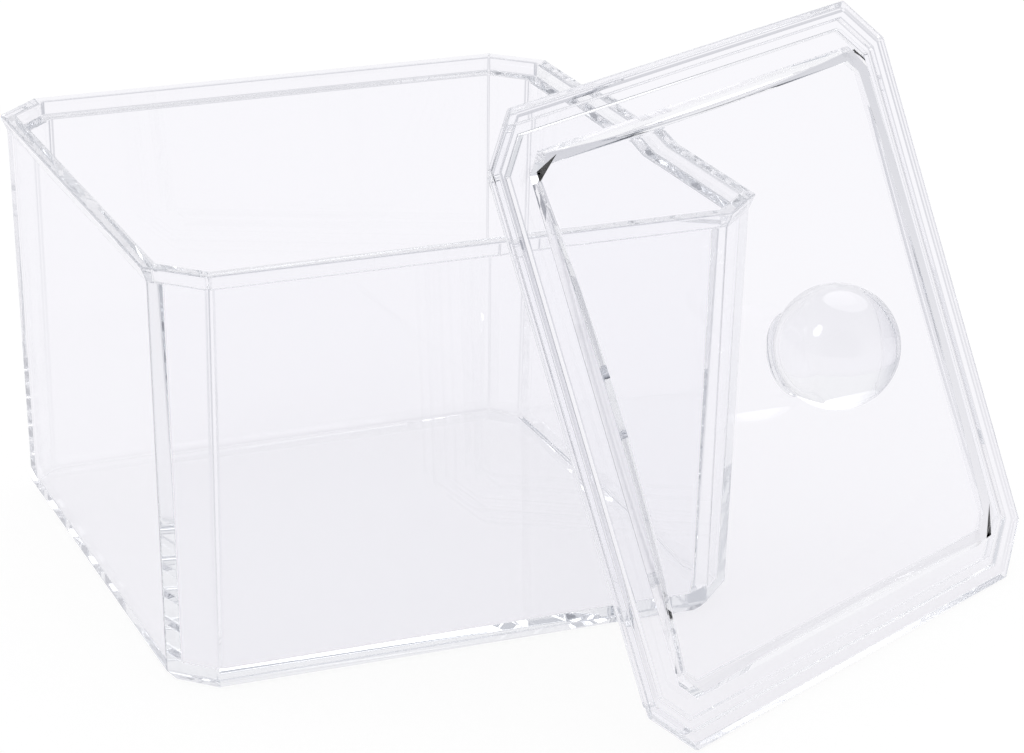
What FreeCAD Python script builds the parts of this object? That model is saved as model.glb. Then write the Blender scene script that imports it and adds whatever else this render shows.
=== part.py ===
"""Square cosmetics box with cut corners, and its lift-off lid with a ball knob.

Frame: millimetres, +Z up, the origin at the centre of the tub's flat base, the tub's front wall facing -Y.
The lid stands on its lower edge, leaning on the tub's front right corner. It is drawn flat, in a frame of
its own: X across, Y up along the panel, Z out of its face, with Z = 0 in the flange's widest outline and the
origin at the middle of the panel. Its Placement then stands it up.
"""
import FreeCAD, Part
import math
import os
import re
import sys

import Sketcher

PARTS_FOLDER = "parts"
SHEET = "sizes"

# Driving dimensions, in millimetres and degrees: alias, value, what it is.
DIMENSIONS = (
    ("wall_width", 108.0, "outer width of the tub's walls, just below the lip"),
    ("corner_leg", 8.0, "leg of the cut corners at the wall width"),
    ("tub_height", 76.0, "floor to rim"),
    ("lip_height", 2.9, "height of the flared lip under the rim"),
    ("lip_flare", 1.0, "how far the rim stands out past the wall, each side"),
    ("wall_draft", 1.65, "how far the outer wall leans in by the base bevel, each side"),
    ("bevel_height", 2.35, "height of the bevel round the base"),
    ("bevel_inset", 2.07, "inset of that bevel, each side"),
    ("floor_thickness", 3.1, "thickness of the tub's floor"),
    ("mouth_wall", 2.65, "width of the flat rim round the mouth"),
    ("seat_depth", 2.8, "depth of the lid's seat, the wider part of the tub's mouth"),
    ("seat_wall", 4.0, "wall thickness just under that seat"),
    ("floor_wall", 4.15, "wall thickness just above the floor"),
    ("floor_fillet", 0.5, "radius between the tub's floor and walls, inside"),
    ("flange_front", 0.9, "front face of the lid's flange"),
    ("flange_back", 1.5, "back face of the flange, behind the widest outline"),
    ("land_front", 0.6, "front edge of the flange's upright edge face"),
    ("land_back", 0.3, "back edge of that edge face"),
    ("front_bevel", 1.65, "inset of the flange's front bevel"),
    ("back_bevel", 1.2, "inset of the flange's back bevel"),
    ("panel_width", 94.0, "width of the raised panel at its foot"),
    ("panel_leg", 3.4, "leg of the raised panel's cut corners at its foot"),
    ("panel_side", 3.2, "height of the raised panel's sides before it is crowned"),
    ("panel_lean", 3.2, "how far those sides lean in"),
    ("crown_height", 5.0, "front of the crowned panel at its middle"),
    ("crown_radius", 625.0, "radius of the shallow dome that crowns the panel"),
    ("panel_thickness", 2.4, "thickness of the crowned panel"),
    ("hollow_width", 88.6, "width of the hollow behind the panel, at its mouth"),
    ("hollow_lean", 0.8, "how far the hollow narrows towards the panel"),
    ("ring_inset", 2.9, "rim of the lid to the locating ring's outside"),
    ("ring_thickness", 1.8, "thickness of the locating ring"),
    ("ring_depth", 2.1, "depth of the locating ring behind the flange"),
    ("ring_lead", 0.3, "lead-in bevel round the ring's free edge"),
    ("ball_radius", 10.9, "radius of the knob's ball"),
    ("ball_centre", 14.4, "height of the ball's centre over the widest outline"),
    ("foot_radius", 7.5, "radius of the knob's foot"),
    ("foot_blend", 0.8, "blend between the foot and the ball"),
    ("lid_yaw", 27.5, "turn of the standing lid about the vertical, degrees"),
    ("lid_lean", 22.45, "lean of the standing lid off the vertical, degrees"),
    ("lid_shift", 19.0, "lid's middle, along its lower edge, from the tub's middle"),
    ("rest_gap", 0.2, "gap between the tub's rim corner and the panel's underside"),
)

# The kinds of feature that must take something away.
CUTS = ("PartDesign::SubtractiveLoft", "PartDesign::Groove", "PartDesign::Boolean")

# Octagons with parallel sides share their corner lines: a leg grows by this much per unit of outward offset.
LEG_PER_OFFSET = "(2 - sqrt(2))"
BOX_CORNER = ("corner_leg", "wall_width / 2")
PANEL_CORNER = ("panel_leg", "panel_width / 2")


def add_sheet(document):
    """Put every driving dimension in a spreadsheet cell with an alias."""
    sheet = document.addObject("Spreadsheet::Sheet", SHEET)
    for row, (alias, value, meaning) in enumerate(DIMENSIONS, start=1):
        sheet.set(f"A{row}", alias)
        sheet.set(f"B{row}", str(value))
        sheet.set(f"C{row}", meaning)
        sheet.setAlias(f"B{row}", alias)
    document.recompute()
    return sheet


def named(expression):
    """Point each driving dimension in an expression at its cell."""
    aliases = {alias for alias, _value, _meaning in DIMENSIONS}
    return re.sub("[a-z_]+", lambda word: f"{SHEET}.{word[0]}" if word[0] in aliases else word[0], expression)


def origin_plane(body, role):
    """Return one of the body's own origin planes."""
    return next(feature for feature in body.Origin.OriginFeatures if feature.Role == role)


def add_sketch(body, name, role="XY_Plane"):
    """Return an empty sketch on one of the body's origin planes."""
    sketch = body.newObject("Sketcher::SketchObject", name)
    sketch.AttachmentSupport = [(origin_plane(body, role), "")]
    sketch.MapMode = "FlatFace"
    return sketch


def bind(sketch, constraint, label, expression):
    """Add a dimension to a sketch and drive it from the sheet."""
    index = sketch.addConstraint(constraint)
    sketch.renameConstraint(index, label)
    sketch.setExpression(f"Constraints.{label}", named(expression))


def octagon(body, name, height, half, corner):
    """Draw a square with cut corners, at a height, as wide each way from the middle as half says.

    The corner is a pair: the leg of the cut corners, and the half width that has that leg. Octagons of one
    corner are offsets of each other, so that the faces between them are flat.
    """
    leg, half_with_leg = corner
    sketch = add_sketch(body, name)
    sketch.setExpression("AttachmentOffset.Base.z", named(height))
    flat = f"2 * ({half} - {leg} - {LEG_PER_OFFSET} * ({half} - {half_with_leg}))"
    sheet = body.Document.getObject(SHEET)
    reach, short = sheet.wall_width / 2, sheet.wall_width / 2 - sheet.corner_leg
    corners = [
        (-short, -reach), (short, -reach), (reach, -short), (reach, short),
        (short, reach), (-short, reach), (-reach, short), (-reach, -short),
    ]
    points = [FreeCAD.Vector(x, y, 0) for x, y in corners]
    sides = [Part.LineSegment(start, end) for start, end in zip(points, points[1:] + points[:1])]
    sketch.addGeometry(sides, False)
    for side in range(len(sides)):
        sketch.addConstraint(Sketcher.Constraint("Coincident", side, 2, (side + 1) % len(sides), 1))
    front, right, back, left = 0, 2, 4, 6
    for side, axis in ((front, -2), (right, -1), (back, -2), (left, -1)):
        sketch.addConstraint(Sketcher.Constraint("Symmetric", side, 1, side, 2, axis))
    for side in (right, back, left):
        sketch.addConstraint(Sketcher.Constraint("Equal", front, side))
    bind(sketch, Sketcher.Constraint("DistanceX", -1, 1, right, 1, reach), "half_right", half)
    bind(sketch, Sketcher.Constraint("DistanceX", left, 1, -1, 1, reach), "half_left", half)
    bind(sketch, Sketcher.Constraint("DistanceY", -1, 1, back, 1, reach), "half_back", half)
    bind(sketch, Sketcher.Constraint("DistanceY", front, 1, -1, 1, reach), "half_front", half)
    bind(sketch, Sketcher.Constraint("DistanceX", front, 1, front, 2, 2 * short), "flat_side", flat)
    return sketch


def loft(body, kind, name, sections, corner=BOX_CORNER):
    """Join octagons, given as (height, half width) in order, with flat faces."""
    sketches = [octagon(body, f"{name}_section_{place}", height, half, corner)
                for place, (height, half) in enumerate(sections)]
    feature = body.newObject(f"PartDesign::{kind}", name)
    feature.Profile = sketches[0]
    feature.Sections = sketches[1:]
    feature.Ruled = True
    return feature


def edges_at_height(shape, height):
    """Name the edges that lie wholly at a height."""
    tolerance = 1e-4
    return [f"Edge{number}" for number, edge in enumerate(shape.Edges, start=1)
            if all(abs(vertex.Z - height) < tolerance for vertex in edge.Vertexes)]


def add_body(document, label):
    """Return an empty body whose label is its node's name."""
    body = document.addObject("PartDesign::Body", label)
    body.Label = label
    return body


def build_tub(document, sheet):
    """Box: bevelled base, drafted walls, flared lip, a drafted cavity, and a wider seat for the lid's ring."""
    body = add_body(document, "tub")
    loft(body, "AdditiveLoft", "outside", (
        ("0", "wall_width / 2 - wall_draft - bevel_inset"),
        ("bevel_height", "wall_width / 2 - wall_draft"),
        ("tub_height - lip_height", "wall_width / 2"),
        ("tub_height", "wall_width / 2 + lip_flare"),
    ))
    cavity = loft(body, "SubtractiveLoft", "cavity", (
        ("floor_thickness", "wall_width / 2 - wall_draft - floor_wall"),
        ("tub_height - seat_depth", "wall_width / 2 - seat_wall"),
    ))
    document.recompute()
    fillet = body.newObject("PartDesign::Fillet", "floor_rounding")
    fillet.Base = (cavity, edges_at_height(cavity.Shape, sheet.floor_thickness))
    fillet.setExpression("Radius", named("floor_fillet"))
    mouth = "wall_width / 2 + lip_flare - mouth_wall"
    loft(body, "SubtractiveLoft", "lid_seat", (("tub_height - seat_depth", mouth), ("tub_height", mouth)))
    return body


def crown(body, name, middle_height):
    """Turn away whatever stands over a shallow dome about the Z axis."""
    sketch = add_sketch(body, name + "_profile", "XZ_Plane")
    sheet = body.Document.getObject(SHEET)
    reach, middle = sheet.panel_width * 3 / 4, sheet.crown_height
    edge, over = middle - reach ** 2 / (2 * sheet.crown_radius), middle + 2 * sheet.panel_side
    sag_point = FreeCAD.Vector(reach / 2, middle - (middle - edge) / 4, 0)
    top, rim = FreeCAD.Vector(0, middle, 0), FreeCAD.Vector(reach, edge, 0)
    above_rim, above_top = FreeCAD.Vector(reach, over, 0), FreeCAD.Vector(0, over, 0)
    sketch.addGeometry([
        Part.Arc(rim, sag_point, top),
        Part.LineSegment(rim, above_rim),
        Part.LineSegment(above_rim, above_top),
        Part.LineSegment(above_top, top),
    ], False)
    dome, outside, ceiling, axis = range(4)
    sketch.addConstraint(Sketcher.Constraint("Coincident", dome, 1, outside, 1))
    sketch.addConstraint(Sketcher.Constraint("Coincident", outside, 2, ceiling, 1))
    sketch.addConstraint(Sketcher.Constraint("Coincident", ceiling, 2, axis, 1))
    sketch.addConstraint(Sketcher.Constraint("Coincident", axis, 2, dome, 2))
    sketch.addConstraint(Sketcher.Constraint("Vertical", outside))
    sketch.addConstraint(Sketcher.Constraint("Horizontal", ceiling))
    sketch.addConstraint(Sketcher.Constraint("PointOnObject", axis, 1, -2))
    sketch.addConstraint(Sketcher.Constraint("PointOnObject", dome, 2, -2))
    sketch.addConstraint(Sketcher.Constraint("PointOnObject", dome, 3, -2))
    bind(sketch, Sketcher.Constraint("DistanceY", -1, 1, dome, 2, middle), "middle", middle_height)
    bind(sketch, Sketcher.Constraint("DistanceX", -1, 1, outside, 1, reach), "reach", "panel_width * 3 / 4")
    ceiling_height = f"{middle_height} + 2 * panel_side"
    bind(sketch, Sketcher.Constraint("DistanceY", -1, 1, ceiling, 1, over), "ceiling_height", ceiling_height)
    bind(sketch, Sketcher.Constraint("Radius", dome, sheet.crown_radius), "dome_radius", "crown_radius")
    groove = body.newObject("PartDesign::Groove", name)
    groove.Profile = sketch
    groove.ReferenceAxis = (sketch, ["V_Axis"])
    return groove


def build_hollow(document):
    """Space behind the lid's panel: it narrows towards the panel, and its end follows the panel's crown."""
    body = add_body(document, "hollow")
    loft(body, "AdditiveLoft", "hollow_block", (
        ("-1 * flange_back", "hollow_width / 2"),
        ("panel_side", "hollow_width / 2 - hollow_lean"),
    ), PANEL_CORNER)
    crown(body, "hollow_crown", "crown_height - panel_thickness")
    return body


def build_lid(document):
    """Lid: bevelled flange, crowned panel hollow from behind, and the ring that locates it in the mouth."""
    hollow = build_hollow(document)
    body = add_body(document, "lid")
    rim = "wall_width / 2 + lip_flare"
    ring = f"{rim} - ring_inset"
    ring_end = "-1 * (flange_back + ring_depth)"
    loft(body, "AdditiveLoft", "raised_panel", (
        ("flange_front", "panel_width / 2"),
        ("flange_front + panel_side", "panel_width / 2 - panel_lean"),
        ("crown_height + panel_side", "panel_width / 2 - panel_lean"),
    ), PANEL_CORNER)
    crown(body, "panel_crown", "crown_height")
    loft(body, "AdditiveLoft", "flange", (
        ("-1 * flange_back", f"{rim} - back_bevel"),
        ("-1 * land_back", rim),
        ("land_front", rim),
        ("flange_front", f"{rim} - front_bevel"),
    ))
    loft(body, "AdditiveLoft", "ring_block", (
        (ring_end, f"{ring} - ring_lead"),
        (f"{ring_end} + ring_lead", ring),
        ("-1 * flange_back", ring),
    ))
    loft(body, "SubtractiveLoft", "ring_inside", (
        (ring_end, f"{ring} - ring_thickness"),
        ("-1 * flange_back", f"{ring} - ring_thickness"),
    ))
    cut = body.newObject("PartDesign::Boolean", "hollow_cut")
    cut.Type = "Cut"
    cut.setObjects([hollow])
    return body


def build_ball_knob(document, sheet):
    """Knob: a ball that grows out of a short round foot, dished underneath to sit on the lid's crown."""
    body = add_body(document, "ball_knob")
    sketch = add_sketch(body, "profile", "XZ_Plane")
    foot, seat, centre, radius = sheet.foot_radius, sheet.crown_height, sheet.ball_centre, sheet.ball_radius
    seat_edge = seat - foot ** 2 / (2 * sheet.crown_radius)
    waist = centre - math.sqrt(radius ** 2 - foot ** 2)
    seat_middle, foot_edge = FreeCAD.Vector(0, seat, 0), FreeCAD.Vector(foot, seat_edge, 0)
    seat_half_way = FreeCAD.Vector(foot / 2, seat - (seat - seat_edge) / 4, 0)
    ball_start, ball_side = FreeCAD.Vector(foot, waist, 0), FreeCAD.Vector(radius, centre, 0)
    top = FreeCAD.Vector(0, centre + radius, 0)
    sketch.addGeometry([
        Part.Arc(foot_edge, seat_half_way, seat_middle),
        Part.LineSegment(foot_edge, ball_start),
        Part.Arc(ball_start, ball_side, top),
        Part.LineSegment(top, seat_middle),
    ], False)
    base, side, ball, axis = range(4)
    sketch.addConstraint(Sketcher.Constraint("Coincident", base, 1, side, 1))
    sketch.addConstraint(Sketcher.Constraint("Coincident", side, 2, ball, 1))
    sketch.addConstraint(Sketcher.Constraint("Coincident", ball, 2, axis, 1))
    sketch.addConstraint(Sketcher.Constraint("Coincident", axis, 2, base, 2))
    sketch.addConstraint(Sketcher.Constraint("Vertical", side))
    for curve, place in ((base, 2), (base, 3), (ball, 2), (ball, 3)):
        sketch.addConstraint(Sketcher.Constraint("PointOnObject", curve, place, -2))
    bind(sketch, Sketcher.Constraint("DistanceX", -1, 1, base, 1, foot), "foot_reach", "foot_radius")
    bind(sketch, Sketcher.Constraint("DistanceY", -1, 1, base, 2, seat), "seat_level", "crown_height")
    bind(sketch, Sketcher.Constraint("Radius", base, sheet.crown_radius), "seat_dish", "crown_radius")
    bind(sketch, Sketcher.Constraint("DistanceY", -1, 1, ball, 3, centre), "ball_level", "ball_centre")
    bind(sketch, Sketcher.Constraint("Radius", ball, radius), "ball_size", "ball_radius")
    turned = body.newObject("PartDesign::Revolution", "turned")
    turned.Profile = sketch
    turned.ReferenceAxis = (sketch, ["V_Axis"])
    document.recompute()
    blend = body.newObject("PartDesign::Fillet", "foot_rounding")
    blend.Base = (turned, edges_at_height(turned.Shape, waist))
    blend.setExpression("Radius", named("foot_blend"))
    return body


def stand_lid_up(body):
    """Stand a piece of the lid on its lower edge, leaning on the tub's front right rim corner.

    The middle's height puts the flange's lowest edge on the ground. Its distance out, along the lid's
    horizontal facing, leaves the rest gap between the rim corner and the panel's crowned underside.
    """
    lean = "(1 deg * lid_lean)"
    yaw = "(1 deg * lid_yaw)"
    rim = "(wall_width / 2 + lip_flare)"
    middle_height = f"({rim} * cos({lean}) + land_back * sin({lean}))"
    corner_side = f"({rim} - corner_leg - {LEG_PER_OFFSET} * lip_flare)"
    corner_reach = f"({corner_side} * sin({yaw}) + {rim} * cos({yaw}))"
    middle_depth = "(crown_height - panel_thickness - rest_gap)"
    touch_side = f"({corner_side} * cos({yaw}) - {rim} * sin({yaw}) - lid_shift)"
    touch_rise = f"((tub_height - {middle_height} - {middle_depth} * sin({lean})) / cos({lean}))"
    depth = f"({middle_depth} - ({touch_side} ^ 2 + {touch_rise} ^ 2) / (2 * crown_radius))"
    reach = (f"({corner_reach} + "
             f"((tub_height - {middle_height}) * sin({lean}) - {depth}) / cos({lean}))")
    body.setExpression("Placement.Base.x", named(f"lid_shift * cos({yaw}) + {reach} * sin({yaw})"))
    body.setExpression("Placement.Base.y", named(f"lid_shift * sin({yaw}) - {reach} * cos({yaw})"))
    body.setExpression("Placement.Base.z", named(middle_height))
    sheet = body.Document.getObject(SHEET)
    upright = FreeCAD.Rotation(sheet.lid_yaw, 0, 90 - sheet.lid_lean)
    body.Placement = FreeCAD.Placement(body.Placement.Base, upright)


def failures(document, bodies):
    """List what recompute left broken."""
    found = [f"{item.Name}: {item.State}" for item in document.Objects
             if "Invalid" in item.State or "Error" in item.State]
    found += [f"{body.Label}: no valid single solid" for body in bodies
              if body.Shape.isNull() or not body.Shape.isValid() or len(body.Shape.Solids) != 1]
    found += [f"{item.Name}: cuts nothing" for item in document.Objects
              if item.TypeId in CUTS
              and item.Shape.Volume > item.BaseFeature.Shape.Volume - 1]
    return found


def main():
    """Build the document, check it and write one STEP file a sub-part."""
    document = FreeCAD.newDocument("cotton_pad_holder")
    sheet = add_sheet(document)
    bodies = [build_tub(document, sheet), build_lid(document), build_ball_knob(document, sheet)]
    for body in bodies[1:]:
        stand_lid_up(body)
    document.recompute()
    broken = failures(document, bodies)
    if broken:
        sys.exit("\n".join(broken))
    os.makedirs(PARTS_FOLDER, exist_ok=True)
    for body in bodies:
        body.Shape.exportStep(os.path.join(PARTS_FOLDER, f"{body.Label}.step"))
        bounds = body.Shape.BoundBox
        print(f"{body.Label}: {body.Shape.Volume:.0f} mm3, {bounds}")


main()
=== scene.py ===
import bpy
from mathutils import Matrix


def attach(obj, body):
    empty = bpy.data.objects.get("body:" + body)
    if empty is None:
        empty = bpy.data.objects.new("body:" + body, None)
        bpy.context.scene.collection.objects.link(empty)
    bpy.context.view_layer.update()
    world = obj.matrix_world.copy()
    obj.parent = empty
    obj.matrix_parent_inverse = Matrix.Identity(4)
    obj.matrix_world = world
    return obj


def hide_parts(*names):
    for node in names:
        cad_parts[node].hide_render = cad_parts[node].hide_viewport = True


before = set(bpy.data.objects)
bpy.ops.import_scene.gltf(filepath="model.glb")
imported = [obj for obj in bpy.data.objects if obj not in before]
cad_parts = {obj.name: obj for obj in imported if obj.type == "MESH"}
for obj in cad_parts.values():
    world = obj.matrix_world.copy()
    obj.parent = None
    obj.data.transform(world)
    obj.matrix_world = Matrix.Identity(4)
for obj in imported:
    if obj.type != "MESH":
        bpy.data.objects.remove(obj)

"""Clear vanity box with cut corners, and its lid with a ball knob, which leans on one of the box's corners.

Every length is in millimetres until a finished mesh is scaled to metres; the studio is laid out in metres.
The lid and the knob are modelled flat, in the lid's own frame: X across, Y up along the panel, Z out of its
face, the origin at the panel's middle in the flange's widest outline. One turn and one move then stand them
up.
"""
import logging
import math
from dataclasses import dataclass, field
from enum import Enum
from typing import Callable, Iterable

import bmesh
import bpy
from mathutils import Euler, Matrix, Quaternion, Vector

LOG = logging.getLogger("vanity_box")
MILLIMETRE = 0.001
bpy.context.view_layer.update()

WHITE = "#ffffff"
# How near vertices lie to be one, and how near two places are to be alike, finely and coarsely.
WELD = 1e-5
CLOSE = 1e-4
ALIKE = 1e-3
# The least upright share of a level face's normal.
LEVEL = 0.99
# How many faces a rounded edge has across.
ROUNDING_STEPS = 3


# ---------------------------------------------------------------- finishes


def linear(hex_colour: str) -> tuple[float, float, float, float]:
    """Turn an sRGB hex colour, such as "#f4f5fb", into linear RGBA.

    Args:
        hex_colour: The colour, with its leading hash.

    Returns:
        Red, green, blue and an alpha of 1.
    """
    channels = []
    for start in (1, 3, 5):
        value = int(hex_colour[start:start + 2], 16) / 255
        channels.append(value / 12.92 if value <= 0.04045 else ((value + 0.055) / 1.055) ** 2.4)
    return (*channels, 1.0)


def add_node(tree: bpy.types.NodeTree, kind: str, settings: dict | None = None,
             links: dict | None = None) -> bpy.types.Node:
    """Add a node, with its settings and its incoming links.

    Args:
        tree: The tree that takes the node.
        kind: The node's type name.
        settings: Attribute names, or input names, and their values.
        links: Input names or numbers, each with the socket that feeds it.

    Returns:
        The new node.
    """
    node = tree.nodes.new(kind)
    for name, value in (settings or {}).items():
        if hasattr(node, name):
            setattr(node, name, value)
        else:
            node.inputs[name].default_value = value
    for name, socket in (links or {}).items():
        tree.links.new(socket, node.inputs[name])
    return node


def empty_tree(owner: bpy.types.Material | bpy.types.World) -> bpy.types.NodeTree:
    """Give a material or a world an empty node tree.

    Args:
        owner: The material or world.

    Returns:
        Its node tree.
    """
    owner.use_nodes = True
    owner.node_tree.nodes.clear()
    return owner.node_tree


class Ray(Enum):
    """Kinds of ray that the surroundings may look different to."""

    CAMERA = "Is Camera Ray"
    GLOSSY = "Is Glossy Ray"
    TRANSMISSION = "Is Transmission Ray"


def combine(tree: bpy.types.NodeTree, kind: str, first: bpy.types.NodeSocket,
            second: bpy.types.NodeSocket | float) -> bpy.types.NodeSocket:
    """Join two values by a math operation.

    Args:
        tree: The tree that takes the node.
        kind: The operation, such as "MAXIMUM" or "MULTIPLY".
        first: The first value's socket.
        second: The second value's socket, or a plain number.

    Returns:
        The result's socket.
    """
    node = add_node(tree, "ShaderNodeMath", {"operation": kind}, {0: first})
    if isinstance(second, float):
        node.inputs[1].default_value = second
    else:
        tree.links.new(second, node.inputs[1])
    return node.outputs[0]


def ramp(tree: bpy.types.NodeTree, value: bpy.types.NodeSocket, start: float,
         end: float) -> bpy.types.NodeSocket:
    """Map a value smoothly from 0 at one limit to 1 at another.

    Args:
        tree: The tree that takes the node.
        value: The value's socket.
        start: The value that gives 0.
        end: The value that gives 1.

    Returns:
        The result's socket.
    """
    node = add_node(tree, "ShaderNodeMapRange", {
        "interpolation_type": "SMOOTHSTEP", "From Min": start, "From Max": end}, {"Value": value})
    return node.outputs["Result"]


def cosine(tree: bpy.types.NodeTree, way: bpy.types.NodeSocket, direction: Vector) -> bpy.types.NodeSocket:
    """Return the cosine between a way and a fixed direction.

    Args:
        tree: The tree that takes the node.
        way: The way's socket.
        direction: The direction, of length 1.

    Returns:
        The cosine's socket.
    """
    node = add_node(tree, "ShaderNodeVectorMath", {"operation": "DOT_PRODUCT"}, {0: way})
    node.inputs[1].default_value = direction
    return node.outputs["Value"]


def fade(tree: bpy.types.NodeTree, share: bpy.types.NodeSocket, first: bpy.types.NodeSocket | str,
         last: bpy.types.NodeSocket | str) -> bpy.types.NodeSocket:
    """Mix two colours.

    Args:
        tree: The tree that takes the node.
        share: The last colour's share.
        first: The colour at a share of 0, as a socket or a hex colour.
        last: The colour at a share of 1, as a socket or a hex colour.

    Returns:
        The mixed colour's socket.
    """
    node = add_node(tree, "ShaderNodeMix", {"data_type": "RGBA"}, {0: share})
    for place, colour in ((6, first), (7, last)):
        if isinstance(colour, str):
            node.inputs[place].default_value = linear(colour)
        else:
            tree.links.new(colour, node.inputs[place])
    return node.outputs[2]


@dataclass(frozen=True)
class ClearPolystyrene:
    """Crystal polystyrene, injection moulded in a polished tool: bright, hard gloss, with faint flow waves.

    Handling leaves fine hairlines, which only show as a slight spread of the reflections.
    """

    name: str
    tint: str = "#fdfdfe"
    depth_colour: str = "#8f98a6"
    depth_density: float = 1.2
    index: float = 1.52
    roughness: float = 0.0
    worn_roughness: float = 0.03
    wave_length: float = 34.0
    wave_height: float = 0.005
    wave_detail: float = 1.0
    wave_roughness: float = 0.4
    scuff_size: float = 6.0
    scuff_detail: float = 4.0
    scuff_roughness: float = 0.6
    scuff_start: float = 0.55
    scuff_full: float = 0.8

    def material(self) -> bpy.types.Material:
        """Build the node material.

        Returns:
            The material, whose colour deepens with the way through the plastic.
        """
        made = bpy.data.materials.new(self.name)
        tree = empty_tree(made)
        place = add_node(tree, "ShaderNodeTexCoord").outputs["Object"]
        scuffs = add_node(tree, "ShaderNodeTexNoise", {
            "Scale": 1 / (self.scuff_size * MILLIMETRE), "Detail": self.scuff_detail,
            "Roughness": self.scuff_roughness}, {"Vector": place})
        wear = add_node(tree, "ShaderNodeMapRange", {
            "From Min": self.scuff_start, "From Max": self.scuff_full,
            "To Min": self.roughness, "To Max": self.worn_roughness}, {"Value": scuffs.outputs["Fac"]})
        waves = add_node(tree, "ShaderNodeTexNoise", {
            "Scale": 1 / (self.wave_length * MILLIMETRE), "Detail": self.wave_detail,
            "Roughness": self.wave_roughness}, {"Vector": place})
        relief = add_node(tree, "ShaderNodeBump", {
            "Strength": 1.0, "Distance": self.wave_height * MILLIMETRE}, {"Height": waves.outputs["Fac"]})
        shader = add_node(tree, "ShaderNodeBsdfPrincipled", {
            "Base Color": linear(self.tint), "IOR": self.index, "Transmission Weight": 1.0},
            {"Roughness": wear.outputs["Result"], "Normal": relief.outputs["Normal"]})
        depth = add_node(tree, "ShaderNodeVolumeAbsorption", {
            "Color": linear(self.depth_colour), "Density": self.depth_density})
        add_node(tree, "ShaderNodeOutputMaterial", links={
            "Surface": shader.outputs["BSDF"], "Volume": depth.outputs["Volume"]})
        return made


# ---------------------------------------------------------------- mesh helpers


def cut_corner_plate(half: float, leg: float, height: float) -> bmesh.types.BMesh:
    """Start a mesh from one square face with cut corners, facing up.

    Args:
        half: Half the square's width.
        leg: Leg of each cut corner.
        height: The face's height.

    Returns:
        A mesh that holds the one face.
    """
    mesh = bmesh.new()
    bmesh.ops.create_grid(mesh, x_segments=1, y_segments=1, size=half)
    bmesh.ops.bevel(mesh, geom=list(mesh.verts), offset=leg, offset_type="OFFSET", affect="VERTICES",
                    segments=1, profile=0.5, material=-1)
    bmesh.ops.translate(mesh, verts=mesh.verts, vec=(0, 0, height))
    return mesh


def thicken(mesh: bmesh.types.BMesh, depth: float) -> tuple[bmesh.types.BMFace, bmesh.types.BMFace]:
    """Make the one face of a mesh a plate.

    Args:
        mesh: The mesh, with one face that looks up.
        depth: The plate's thickness, downwards.

    Returns:
        The plate's top and bottom faces.
    """
    face = next(iter(mesh.faces))
    bmesh.ops.extrude_face_region(mesh, geom=[face], use_keep_orig=True)
    bmesh.ops.translate(mesh, verts=face.verts, vec=(0, 0, -depth))
    bmesh.ops.recalc_face_normals(mesh, faces=mesh.faces)
    level = [item for item in mesh.faces if abs(item.normal.z) > LEVEL]
    level.sort(key=lambda item: item.calc_center_median().z)
    return level[-1], level[0]


def step(mesh: bmesh.types.BMesh, face: bmesh.types.BMFace, inset: float, rise: float) -> list:
    """Inset a face by a parallel offset and move it along its normal.

    Args:
        mesh: The mesh.
        face: The face, which becomes the inner one.
        inset: How far its sides move in.
        rise: How far it then moves out along its normal, or in if negative.

    Returns:
        The faces of the new border.
    """
    made = bmesh.ops.inset_region(mesh, faces=[face], thickness=inset, depth=rise, use_even_offset=True,
                                  use_boundary=True)
    return made["faces"]


def sharp_edges(mesh: bmesh.types.BMesh, least: float = 8.0) -> list[bmesh.types.BMEdge]:
    """Return the edges where faces meet at more than an angle, in degrees."""
    return [edge for edge in mesh.edges
            if edge.is_manifold and math.degrees(edge.calc_face_angle(0.0)) > least]


def soften(mesh: bmesh.types.BMesh, edges: Iterable[bmesh.types.BMEdge], radius: float,
           segments: int = ROUNDING_STEPS) -> None:
    """Round edges off, and shade the rounding smooth.

    Args:
        mesh: The mesh.
        edges: The edges to round.
        radius: How far the rounding reaches from each edge.
        segments: How many faces it has across.
    """
    made = bmesh.ops.bevel(mesh, geom=list(edges), offset=radius, offset_type="OFFSET", affect="EDGES",
                           segments=segments, profile=0.5, material=-1, clamp_overlap=True,
                           miter_outer="SHARP")
    for face in made["faces"]:
        face.smooth = True


def score(mesh: bmesh.types.BMesh, face: bmesh.types.BMFace, half: float, pitch: float) -> list:
    """Cut a flat face into a square grid.

    Args:
        mesh: The mesh.
        face: The face.
        half: Half the width that the grid covers.
        pitch: Its spacing.

    Returns:
        The grid's faces.
    """
    height = face.calc_center_median().z
    normal = face.normal.copy()
    parts = [face]
    cuts = int(half / pitch)
    for direction in (Vector((1, 0, 0)), Vector((0, 1, 0))):
        for place in range(-cuts, cuts + 1):
            # A dictionary keeps its order from run to run, which a set of mesh elements doesn't.
            geometry = list(dict.fromkeys(item for part in parts
                                          for item in (part, *part.edges, *part.verts)))
            cut = bmesh.ops.bisect_plane(mesh, geom=geometry, plane_co=direction * (place + 0.5) * pitch,
                                         plane_no=direction, dist=WELD)
            parts = [item for item in cut["geom"] if isinstance(item, bmesh.types.BMFace)]
    return [part for part in parts if part.normal.dot(normal) > LEVEL
            and abs(part.calc_center_median().z - height) < CLOSE]


def add_object(name: str, data: bpy.types.ID) -> bpy.types.Object:
    """Put a new object into the scene.

    Args:
        name: The object's name.
        data: The mesh, lamp or camera that it shows.

    Returns:
        The object, unmoved and unturned.
    """
    made = bpy.data.objects.new(name, data)
    bpy.context.scene.collection.objects.link(made)
    return made


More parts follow.
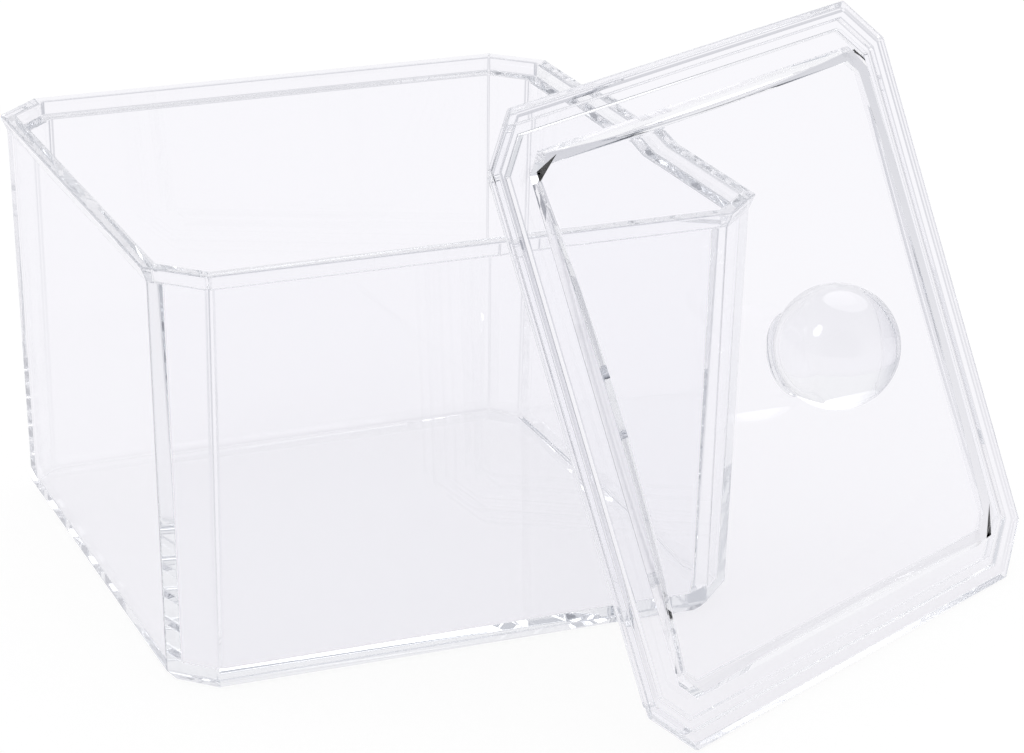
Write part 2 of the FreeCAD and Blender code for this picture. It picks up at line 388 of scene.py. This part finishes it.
def finish_piece(mesh: bmesh.types.BMesh, name: str, placing: Matrix, material: bpy.types.Material,
                 body: str) -> bpy.types.Object:
    """Make a finished mesh an object of the model.

    Args:
        mesh: The mesh, in millimetres, in its own frame.
        name: The object's name.
        placing: Where its own frame lies in the model, in metres.
        material: Its finish.
        body: The body that it moves with.

    Returns:
        The object, with its place in its mesh.
    """
    bmesh.ops.remove_doubles(mesh, verts=mesh.verts, dist=WELD)
    bmesh.ops.recalc_face_normals(mesh, faces=mesh.faces)
    bmesh.ops.transform(mesh, matrix=placing @ Matrix.Scale(MILLIMETRE, 4), verts=mesh.verts)
    data = bpy.data.meshes.new(name)
    mesh.to_mesh(data)
    mesh.free()
    data.materials.append(material)
    piece = add_object(name, data)
    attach(piece, body)
    LOG.info("%s: %d faces", name, len(data.polygons))
    return piece


# ---------------------------------------------------------------- the box


@dataclass
class Tub:
    """Open box: bevelled base, thick drafted walls, flared lip, and a wider seat in the mouth for the lid."""

    finish: ClearPolystyrene
    rim_half: float = 55.0
    rim_leg: float = 8.586
    height: float = 76.0
    lip_land: float = 0.4
    lip_height: float = 2.9
    lip_flare: float = 1.0
    wall_draft: float = 1.65
    bevel_height: float = 2.35
    bevel_inset: float = 2.07
    rim_width: float = 2.65
    seat_depth: float = 2.8
    seat_draft: float = 0.05
    ledge: float = 2.3
    cavity_draft: float = 1.8
    floor_thickness: float = 3.1
    floor_rounding: float = 0.5
    edge_rounding: float = 0.25
    rounded_angle: float = 30.0

    def build(self) -> bpy.types.Object:
        """Build the tub in place of its CAD node.

        Returns:
            The finished piece.
        """
        mesh = cut_corner_plate(self.rim_half, self.rim_leg, self.height)
        top, bottom = thicken(mesh, self.lip_land)
        step(mesh, bottom, self.lip_flare, self.lip_height - self.lip_land)
        step(mesh, bottom, self.wall_draft, self.height - self.lip_height - self.bevel_height)
        step(mesh, bottom, self.bevel_inset, self.bevel_height)
        step(mesh, top, self.rim_width, 0.0)
        step(mesh, top, self.seat_draft, -self.seat_depth)
        step(mesh, top, self.ledge, 0.0)
        step(mesh, top, self.cavity_draft, self.floor_thickness + self.seat_depth - self.height)
        soften(mesh, list(top.edges), self.floor_rounding)
        fine = [edge for edge in sharp_edges(mesh, self.rounded_angle)
                if not any(face.smooth for face in edge.link_faces)]
        soften(mesh, fine, self.edge_rounding)
        piece = finish_piece(mesh, "clear_tub", Matrix.Identity(4), self.finish.material(), "tub")
        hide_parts("tub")
        return piece


# ---------------------------------------------------------------- the lid


@dataclass
class Lid:
    """Bevelled flange, crowned panel hollow from behind, and the ring that locates it in the mouth."""

    finish: ClearPolystyrene
    rim_half: float = 55.0
    rim_leg: float = 8.586
    land_front: float = 0.6
    land_back: float = -0.3
    flange_front: float = 0.9
    flange_back: float = -1.5
    front_bevel: float = 1.65
    back_bevel: float = 1.2
    panel_half: float = 47.0
    panel_leg: float = 3.4
    panel_side: float = 3.2
    panel_lean: float = 3.2
    crown_height: float = 5.0
    crown_radius: float = 625.0
    panel_thickness: float = 2.4
    hollow_half: float = 44.3
    hollow_lean: float = 0.8
    ring_half: float = 52.1
    ring_thickness: float = 1.8
    ring_depth: float = 2.1
    edge_rounding: float = 0.25
    grid_pitch: float = 3.0
    grid_margin: float = 5.0
    rim_passes: int = 6

    def crown(self, x: float, y: float) -> float:
        """Return the height of the panel's crowned front face."""
        return self.crown_height - (x * x + y * y) / (2 * self.crown_radius)

    def under_crown(self, x: float, y: float) -> float:
        """Return the height of the hollow's ceiling, parallel to the crown."""
        return self.crown(x, y) - self.panel_thickness

    def fit_rim(self, verts: Iterable[bmesh.types.BMVert], reach: float, steep: float, base: float,
                surface: Callable[[float, float], float]) -> None:
        """Slide a rim along the leaning sides below it until it meets a surface.

        Args:
            verts: The rim's vertices.
            reach: How far in from the foot they now lie.
            steep: The sides' rise for each millimetre in.
            base: The foot's height.
            surface: The surface that the rim ends in.
        """
        verts = list(verts)
        half = max(abs(vert.co.x) for vert in verts)
        flat = max(abs(vert.co.y) for vert in verts if abs(vert.co.x) > half - ALIKE)
        for vert in verts:
            on_x = abs(vert.co.x) > half - ALIKE
            along = abs(vert.co.y if on_x else vert.co.x)
            # A cut corner's end moves along the mitre of the two sides that meet there.
            mitre = math.tan(math.pi / 8) if along > flat - ALIKE else 0.0
            out_x, out_y = (1.0, mitre) if on_x else (mitre, 1.0)
            outward = Vector((math.copysign(out_x, vert.co.x), math.copysign(out_y, vert.co.y)))
            start, inset = vert.co.xy.copy(), reach
            for _ in range(self.rim_passes):
                vert.co.xy = start + outward * (reach - inset)
                inset = abs(surface(vert.co.x, vert.co.y) - base) / steep

    def raise_form(self, mesh: bmesh.types.BMesh, face: bmesh.types.BMFace, half: float, steep: float,
                   surface: Callable[[float, float], float]) -> None:
        """Raise or sink a face between straight leaning sides until it follows a surface.

        Args:
            mesh: The mesh.
            face: The flat face.
            half: Half its width.
            steep: Its sides' rise for each millimetre in.
            surface: The surface that it takes.
        """
        base = face.calc_center_median().z
        reach = abs(surface(half, 0.0) - base) / steep
        parts = score(mesh, face, half - self.grid_margin, self.grid_pitch)
        bmesh.ops.inset_region(mesh, faces=parts, thickness=reach, use_even_offset=True, use_boundary=True)
        region = set(parts)
        rim = [edge for edge in mesh.edges if sum(item in region for item in edge.link_faces) == 1]
        self.fit_rim({vert for edge in rim for vert in edge.verts}, reach, steep, base, surface)
        for vert in {vert for part in parts for vert in part.verts}:
            vert.co.z = surface(vert.co.x, vert.co.y)
        for part in parts:
            part.smooth = True
        soften(mesh, rim, self.edge_rounding)

    def build(self, placing: Matrix) -> bpy.types.Object:
        """Build the lid in place of its CAD node.

        Args:
            placing: Where its own frame lies in the model.

        Returns:
            The finished piece.
        """
        mesh = cut_corner_plate(self.rim_half, self.rim_leg, self.land_front)
        front, back = thicken(mesh, self.land_front - self.land_back)
        step(mesh, front, self.front_bevel, self.flange_front - self.land_front)
        step(mesh, back, self.back_bevel, self.land_back - self.flange_back)
        step(mesh, front, self.rim_half - self.front_bevel - self.panel_half, 0.0)
        self.trim_corners(front)
        step(mesh, back, self.rim_half - self.back_bevel - self.ring_half, 0.0)
        ring = step(mesh, back, self.ring_thickness, 0.0)
        step(mesh, back, self.ring_half - self.ring_thickness - self.hollow_half, 0.0)
        grown = bmesh.ops.extrude_face_region(mesh, geom=ring)
        tips = [item for item in grown["geom"] if isinstance(item, bmesh.types.BMVert)]
        bmesh.ops.translate(mesh, verts=tips, vec=(0, 0, -self.ring_depth))
        bmesh.ops.delete(mesh, geom=ring, context="FACES")
        # The panel's foot and the hollow's mouth stay sharp: their leaning sides start there.
        plain = {*front.edges, *back.edges}
        soften(mesh, [edge for edge in sharp_edges(mesh) if edge not in plain], self.edge_rounding)
        self.raise_panel(mesh)
        piece = finish_piece(mesh, "clear_lid", placing, self.finish.material(), "lid")
        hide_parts("lid")
        return piece

    def trim_corners(self, face: bmesh.types.BMFace) -> None:
        """Slide the corners of the panel's foot along its sides, to the panel's own corner leg.

        Args:
            face: The flat face that the panel rises from.
        """
        flat = self.panel_half - self.panel_leg
        for vert in face.verts:
            if abs(vert.co.x) > abs(vert.co.y):
                vert.co.y = math.copysign(flat, vert.co.y)
            else:
                vert.co.x = math.copysign(flat, vert.co.x)

    def raise_panel(self, mesh: bmesh.types.BMesh) -> None:
        """Raise the crowned panel from its foot, and sink the hollow behind it.

        Args:
            mesh: The lid's mesh, still flat on both sides.
        """
        middle = [face for face in mesh.faces if abs(face.normal.z) > LEVEL
                  and face.calc_center_median().xy.length < ALIKE
                  and face.calc_area() > self.hollow_half ** 2]
        front = max(middle, key=lambda face: face.calc_center_median().z)
        back = min(middle, key=lambda face: face.calc_center_median().z)
        self.raise_form(mesh, front, self.panel_half, self.panel_side / self.panel_lean, self.crown)
        hollow_side = self.panel_side - self.flange_back
        self.raise_form(mesh, back, self.hollow_half, hollow_side / self.hollow_lean, self.under_crown)


@dataclass
class BallKnob:
    """Ball that grows out of a short round foot, bonded to the middle of the lid's panel."""

    finish: ClearPolystyrene
    ball_radius: float = 10.9
    ball_centre: float = 14.4
    foot_radius: float = 7.5
    foot_blend: float = 0.8
    seat: float = 5.0
    seat_dish: float = 625.0
    turns: int = 96
    arc_steps: int = 48
    blend_steps: int = 5
    crease_angle: float = 25.0

    def build(self, placing: Matrix) -> bpy.types.Object:
        """Build the knob in place of its CAD node.

        Args:
            placing: Where the lid's own frame lies in the model.

        Returns:
            The finished piece.
        """
        waist = self.ball_centre - math.sqrt(self.ball_radius ** 2 - self.foot_radius ** 2)
        sweep = math.pi - math.asin(self.foot_radius / self.ball_radius)
        seat_edge = self.seat - self.foot_radius ** 2 / (2 * self.seat_dish)
        mesh = bmesh.new()
        top = mesh.verts.new((0, 0, self.ball_centre + self.ball_radius))
        bmesh.ops.spin(mesh, geom=[top], cent=(0, 0, self.ball_centre), axis=(0, 1, 0), angle=sweep,
                       steps=self.arc_steps, use_merge=False)
        end = max(mesh.verts, key=lambda vert: (vert.co.z < waist + 0.1, -vert.co.z))
        edge = mesh.verts.new((self.foot_radius, 0, seat_edge))
        middle = mesh.verts.new((0, 0, self.seat))
        mesh.edges.new((end, edge))
        mesh.edges.new((edge, middle))
        bmesh.ops.spin(mesh, geom=list(mesh.verts) + list(mesh.edges), cent=(0, 0, 0), axis=(0, 0, 1),
                       angle=2 * math.pi, steps=self.turns, use_merge=True)
        bmesh.ops.remove_doubles(mesh, verts=mesh.verts, dist=CLOSE)
        bmesh.ops.recalc_face_normals(mesh, faces=mesh.faces)
        neck = [item for item in mesh.edges if all(abs(vert.co.z - waist) < 0.01 for vert in item.verts)]
        turn = math.pi / 2 - math.asin(self.foot_radius / self.ball_radius)
        soften(mesh, neck, self.foot_blend * math.tan(turn / 2), self.blend_steps)
        for face in mesh.faces:
            face.smooth = True
        for item in sharp_edges(mesh, self.crease_angle):
            item.smooth = False
        piece = finish_piece(mesh, "clear_ball_knob", placing, self.finish.material(), "lid")
        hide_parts("ball_knob")
        return piece


@dataclass(frozen=True)
class LeaningPlace:
    """How the lid leans: its lowest edge on the ground, its panel's back against the box's front right rim.

    The yaw and the lean are in degrees. The shift is how far the lid lies to the right along its own edge.
    """

    yaw: float = 27.5
    lean: float = 22.45
    shift: float = 19.0
    gap: float = 0.2

    def matrix(self, tub: Tub, lid: Lid) -> Matrix:
        """Return where the lid's own frame lies in the model, in metres.

        Args:
            tub: The box, for its rim.
            lid: The lid, for its flange and its crown.

        Returns:
            A move and a turn.
        """
        yaw, lean = math.radians(self.yaw), math.radians(self.lean)
        rim = tub.rim_half
        middle_height = rim * math.cos(lean) - lid.land_back * math.sin(lean)
        corner_side = rim - tub.rim_leg
        corner_reach = corner_side * math.sin(yaw) + rim * math.cos(yaw)
        middle_depth = lid.crown_height - lid.panel_thickness - self.gap
        touch_side = corner_side * math.cos(yaw) - rim * math.sin(yaw) - self.shift
        touch_rise = (tub.height - middle_height - middle_depth * math.sin(lean)) / math.cos(lean)
        depth = middle_depth - (touch_side ** 2 + touch_rise ** 2) / (2 * lid.crown_radius)
        reach = corner_reach + ((tub.height - middle_height) * math.sin(lean) - depth) / math.cos(lean)
        middle = Vector((self.shift * math.cos(yaw) + reach * math.sin(yaw),
                         self.shift * math.sin(yaw) - reach * math.cos(yaw), middle_height))
        turn = Euler((math.pi / 2 - lean, 0, yaw), "XYZ").to_matrix().to_4x4()
        return Matrix.Translation(middle * MILLIMETRE) @ turn


# ---------------------------------------------------------------- the studio


@dataclass
class Studio:
    """White surroundings, soft light and the camera. Angles are in degrees."""

    eye: Vector = field(default_factory=lambda: Vector((-0.19836, -0.55598, 0.25776)))
    azimuth: float = 22.285
    dip: float = 20.842
    roll: float = 0.58
    lens: float = 120.13
    sensor: float = 36.0
    nearest: float = 0.05
    farthest: float = 50.0
    floor_half: float = 6.0
    floor_drop: float = 0.00003
    light_turns: int = 200
    sweep: str = "#fbfbfd"
    wall: str = "#d6d8de"
    bright_side: float = 50.0
    side_fade: float = 0.4
    room: str = "#9a9ca4"
    room_rise: float = 12.0
    room_edge: float = 0.68
    room_core: float = 0.9
    paper: str = "#fafafa"
    paper_through: str = "#f8f7fb"
    light_level: float = 1.0
    glow_seen: float = 0.93
    glow_behind: float = 0.88

    def build(self) -> None:
        """Build the camera, the floor, the lamps and the world."""
        self.add_camera()
        self.add_floor()
        self.add_lamps()
        self.add_world()
        scene = bpy.context.scene
        scene.view_settings.view_transform = "Standard"
        # Light runs a long way inside clear walls before it comes out at an edge.
        scene.cycles.max_bounces = self.light_turns
        scene.cycles.transmission_bounces = self.light_turns
        scene.cycles.glossy_bounces = self.light_turns

    def facing(self, dip: float, aside: float = 0.0) -> Vector:
        """Return the way the camera faces, at a given dip and turned aside to its right, both in degrees."""
        turn, fall = math.radians(self.azimuth + aside), math.radians(dip)
        return Vector((math.sin(turn) * math.cos(fall), math.cos(turn) * math.cos(fall), -math.sin(fall)))

    def carried(self, tree: bpy.types.NodeTree, path: bpy.types.Node) -> bpy.types.NodeSocket:
        """Return 1 for the rays that the plastic reflects or lets through."""
        return combine(tree, "MAXIMUM", path.outputs[Ray.GLOSSY.value], path.outputs[Ray.TRANSMISSION.value])

    def shown(self, tree: bpy.types.NodeTree, path: bpy.types.Node) -> bpy.types.NodeSocket:
        """Return 1 for the rays that show the backdrop, straight or through the plastic."""
        return combine(tree, "MAXIMUM", path.outputs[Ray.CAMERA.value], self.carried(tree, path))

    def add_camera(self) -> None:
        """Aim the camera by its azimuth, dip and roll."""
        data = bpy.data.cameras.new("camera")
        data.lens = self.lens
        data.sensor_width = self.sensor
        data.clip_start, data.clip_end = self.nearest, self.farthest
        camera = add_object("camera", data)
        camera.location = self.eye
        camera.rotation_mode = "QUATERNION"
        aim = self.facing(self.dip).to_track_quat("-Z", "Y")
        camera.rotation_quaternion = aim @ Quaternion((0, 0, 1), math.radians(self.roll))
        bpy.context.scene.camera = camera

    def add_floor(self) -> None:
        """Lay a white floor that takes a faint shadow."""
        mesh = bmesh.new()
        bmesh.ops.create_grid(mesh, x_segments=1, y_segments=1, size=self.floor_half)
        bmesh.ops.translate(mesh, verts=mesh.verts, vec=(0, 0, -self.floor_drop))
        data = bpy.data.meshes.new("floor")
        mesh.to_mesh(data)
        mesh.free()
        floor = add_object("floor", data)
        made = bpy.data.materials.new("white_paper")
        tree = empty_tree(made)
        path = add_node(tree, "ShaderNodeLightPath")
        seen = combine(tree, "MULTIPLY", path.outputs[Ray.CAMERA.value], self.glow_seen)
        through = self.carried(tree, path)
        share = combine(tree, "MAXIMUM", seen, combine(tree, "MULTIPLY", through, self.glow_behind))
        tone = fade(tree, path.outputs[Ray.CAMERA.value], self.paper_through, WHITE)
        paper = add_node(tree, "ShaderNodeBsdfDiffuse", {"Color": linear(self.paper)})
        glow = add_node(tree, "ShaderNodeEmission", {"Strength": 1.0}, {"Color": tone})
        mixed = add_node(tree, "ShaderNodeMixShader", links={
            0: share, 1: paper.outputs[0], 2: glow.outputs[0]})
        add_node(tree, "ShaderNodeOutputMaterial", links={"Surface": mixed.outputs[0]})
        data.materials.append(made)

    def add_lamps(self) -> None:
        """Hang a soft window-shaped lamp at the upper left and a wide one overhead."""
        self.add_lamp("window", Vector((-0.83, -0.31, 0.82)), Vector((0.06, -0.07, 0.05)), (0.3, 0.45), 1.5)
        self.add_lamp("overhead", Vector((0.5, 0.35, 1.3)), Vector((0, 0, 0)), (1.4, 1.4), 5.0)

    def add_lamp(self, name: str, place: Vector, aim: Vector, size: tuple[float, float],
                 power: float) -> None:
        """Add one plain area lamp.

        Args:
            name: The lamp's name.
            place: Where it hangs.
            aim: The point that it faces.
            size: Its width and height.
            power: Its power in watts.
        """
        data = bpy.data.lights.new(name, "AREA")
        data.shape = "ELLIPSE"
        data.size, data.size_y = size
        data.energy = power
        lamp = add_object(name, data)
        lamp.location = place
        lamp.rotation_mode = "QUATERNION"
        lamp.rotation_quaternion = (aim - place).to_track_quat("-Z", "Y")

    def add_world(self) -> None:
        """Surround the object with white for the camera and for matte light.

        In and through the plastic, the surroundings fade from a pale side to a greyer one, with a grey patch
        low behind the camera.
        """
        world = bpy.data.worlds.new("white_surround")
        bpy.context.scene.world = world
        tree = empty_tree(world)
        path = add_node(tree, "ShaderNodeLightPath")
        way = add_node(tree, "ShaderNodeTexCoord").outputs["Generated"]
        side = cosine(tree, way, self.facing(0.0, self.bright_side))
        walls = fade(tree, ramp(tree, side, -self.side_fade, self.side_fade), self.wall, self.sweep)
        room = cosine(tree, way, self.facing(-self.room_rise, 180.0))
        dimmed = fade(tree, ramp(tree, room, self.room_edge, self.room_core), walls, self.room)
        backdrop = fade(tree, path.outputs[Ray.CAMERA.value], dimmed, WHITE)
        colour = fade(tree, self.shown(tree, path), WHITE, backdrop)
        sky = add_node(tree, "ShaderNodeBackground", {"Strength": self.light_level}, {"Color": colour})
        add_node(tree, "ShaderNodeOutputWorld", links={"Surface": sky.outputs[0]})


def main() -> None:
    """Build the studio and the object."""
    logging.basicConfig(level=logging.INFO, format="%(name)s: %(message)s")
    tub = Tub(ClearPolystyrene("clear_polystyrene_tub"))
    lid = Lid(ClearPolystyrene("clear_polystyrene_lid"))
    placing = LeaningPlace().matrix(tub, lid)
    tub.build()
    lid.build(placing)
    BallKnob(ClearPolystyrene("clear_polystyrene_knob")).build(placing)
    Studio().build()


if __name__ == "__main__":
    main()
